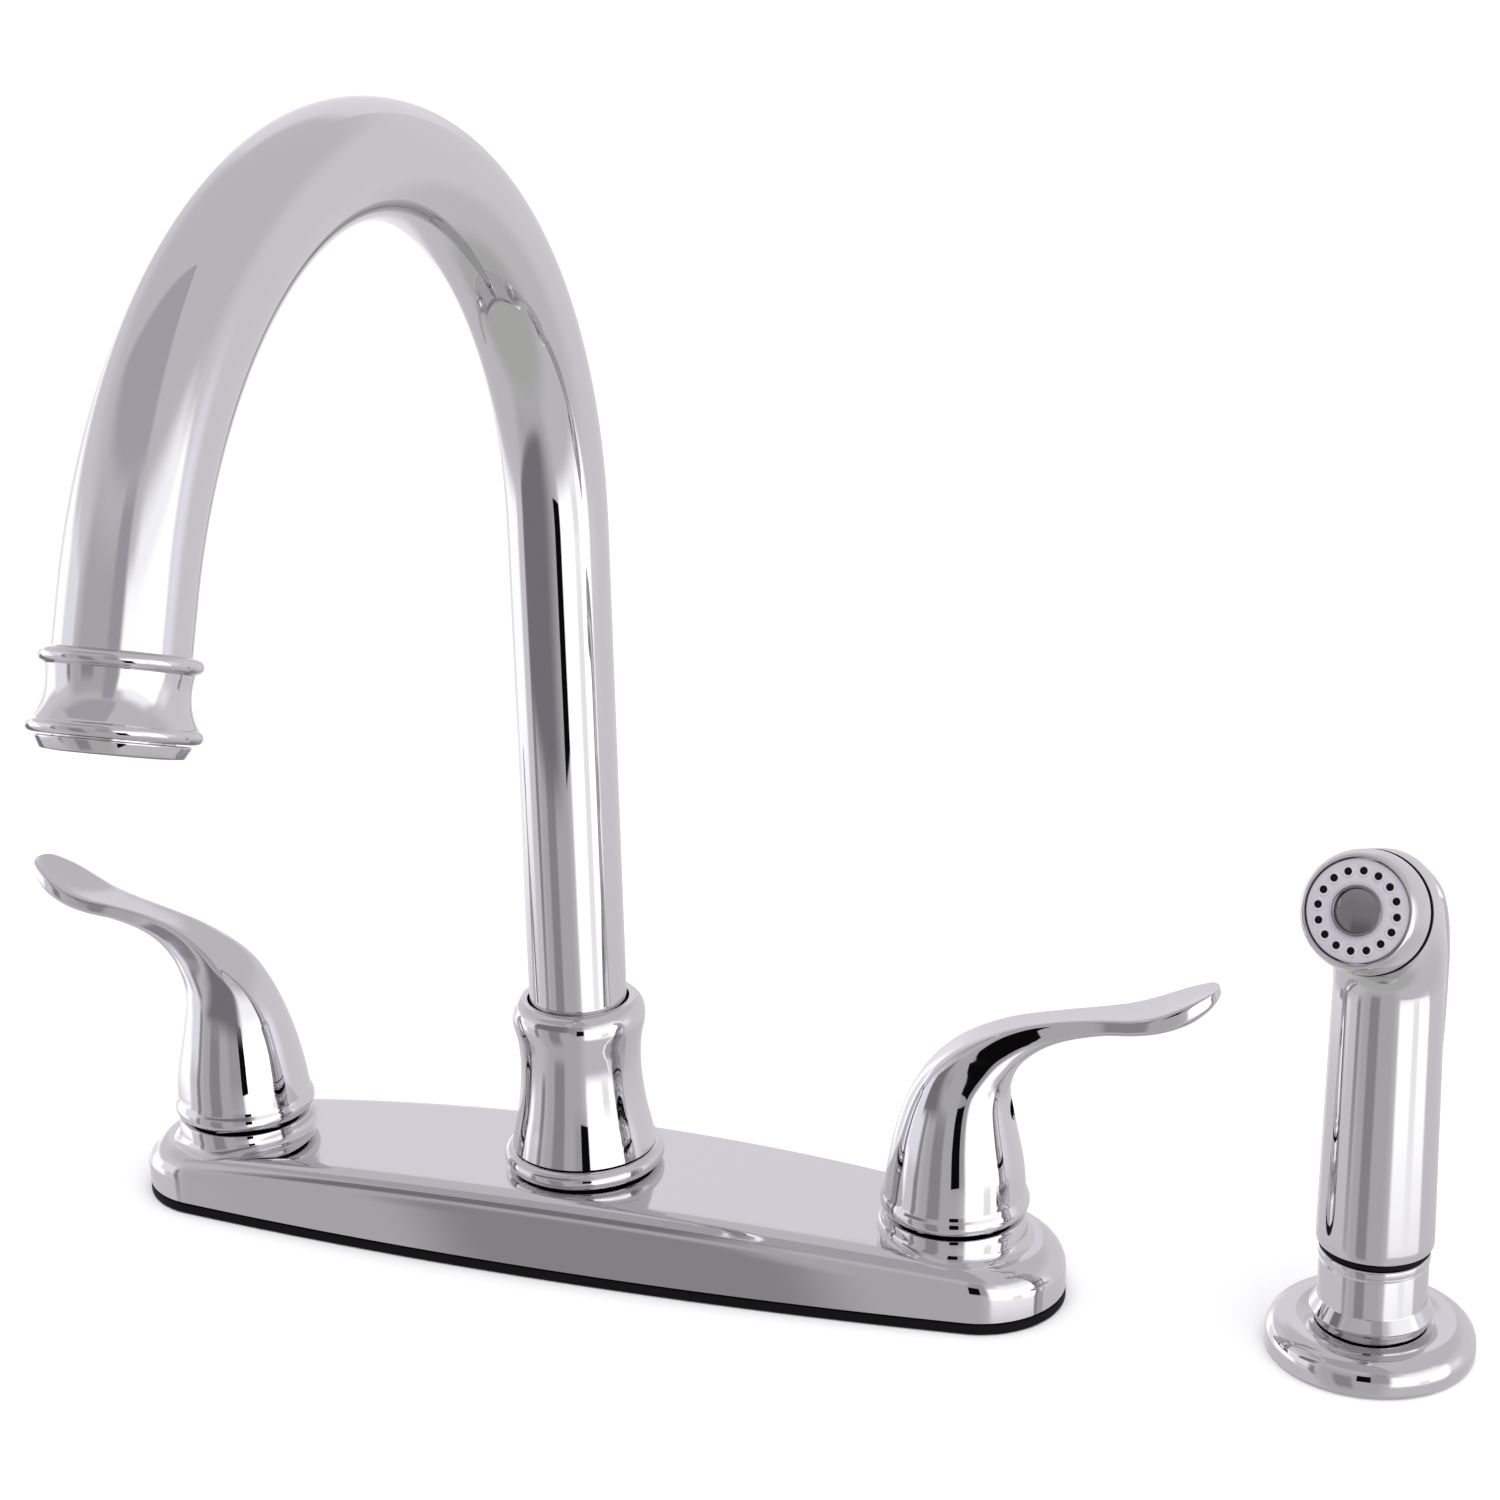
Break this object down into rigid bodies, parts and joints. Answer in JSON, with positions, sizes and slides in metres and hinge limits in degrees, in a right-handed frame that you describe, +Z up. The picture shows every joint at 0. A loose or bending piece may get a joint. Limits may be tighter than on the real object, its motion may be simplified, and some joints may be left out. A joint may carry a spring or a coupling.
{
  "type": "side spray kitchen faucet",
  "caption": "Two-handle kitchen faucet with a deck plate, a swivelling gooseneck spout, curved lever handles and a pull-out side spray in its own holder.",
  "frame": {"origin": "middle of the deck plate on the top of the sink deck, on the axis that the spout swivels about", "axes": "+X along the deck plate to the cold handle and the side spray, +Y to the back of the sink, +Z up; the spout points to -Y at rest"},
  "size_m": [0.3974, 0.2466, 0.3599],
  "materials": {
    "chrome": "polished chrome plate",
    "brass": "machined brass",
    "steel": "plain steel",
    "rubber": "black rubber",
    "nylon": "white nylon",
    "spray_plastic": "satin grey plastic"
  },
  "bodies": {
    "fixed_parts": {"deck_gasket": "rubber", "deck_plate": "chrome", "valve_body_left": "brass", "valve_body_right": "brass", "valve_cartridge_left": "brass", "valve_cartridge_right": "brass", "bonnet_nut_left": "brass", "bonnet_nut_right": "brass", "deck_washer_left": "steel", "deck_washer_right": "steel", "lock_nut_left": "brass", "lock_nut_right": "brass", "waterway": "brass", "spray_outlet_nipple": "brass", "diverter": "nylon", "spout_base_ring": "chrome", "spout_base": "chrome", "spout_bush": "nylon", "spout_o_ring_1": "rubber", "spout_o_ring_2": "rubber", "spray_flange": "chrome", "spray_flange_gasket": "rubber", "spray_holder": "chrome", "spray_holder_washer": "steel", "spray_holder_nut": "brass", "wand_seat_ring": "rubber"},
    "spout": {"spout_tube": "chrome", "spout_hub": "brass", "tip_collar": "chrome", "aerator_housing": "chrome", "aerator_insert": "nylon", "aerator_washer": "rubber"},
    "left_handle": {"handle_left": "chrome", "handle_screw_left": "brass", "valve_stem_left": "brass"},
    "right_handle": {"handle_right": "chrome", "handle_screw_right": "brass", "valve_stem_right": "brass"},
    "hose_end": {"hose_coupling": "brass"},
    "wand": {"wand_body": "chrome", "nozzle_seal": "rubber", "nozzle_ring": "chrome", "spray_face": "spray_plastic", "face_button": "chrome", "trigger_pin": "steel", "plunger_spring": "steel"},
    "trigger": {"trigger": "chrome"},
    "spray_valve": {"spray_plunger": "brass"}
  },
  "joints": [
    {"name": "spout_swivel", "type": "hinge", "parent": "fixed_parts", "child": "spout", "pos_m": [0, 0, 0.05], "axis": [0, 0, 1], "continuous": true},
    {"name": "hot_handle_turn", "type": "hinge", "parent": "fixed_parts", "child": "left_handle", "pos_m": [-0.1016, 0, 0.04], "axis": [0, 0, 1], "range_deg": [0, 90]},
    {"name": "cold_handle_turn", "type": "hinge", "parent": "fixed_parts", "child": "right_handle", "pos_m": [0.1016, 0, 0.04], "axis": [0, 0, 1], "range_deg": [-90, 0]},
    {"name": "wand_lift", "type": "slide", "parent": "fixed_parts", "child": "hose_end", "axis": [0, 0, 1], "range_m": [0, 0.045]},
    {"name": "wand_swivel", "type": "hinge", "parent": "hose_end", "child": "wand", "pos_m": [0.2064, 0.0019, 0.02], "axis": [0, 0, 1], "continuous": true},
    {"name": "trigger_pivot", "type": "hinge", "parent": "wand", "child": "trigger", "pos_m": [0.20671, 0.00355, 0.11901], "axis": [-0.9829, 0.184, 0], "range_deg": [0, 2], "stiffness_Nm_per_rad": 2, "springref_deg": -5.73},
    {"name": "valve_push", "type": "slide", "parent": "wand", "child": "spray_valve", "axis": [-0.184, -0.9829, 0], "range_m": [0, 0.0011]}
  ],
  "couplings": [
    {"joint": "valve_push", "follows": "trigger_pivot", "m_per_rad": 0.031014}
  ]
}
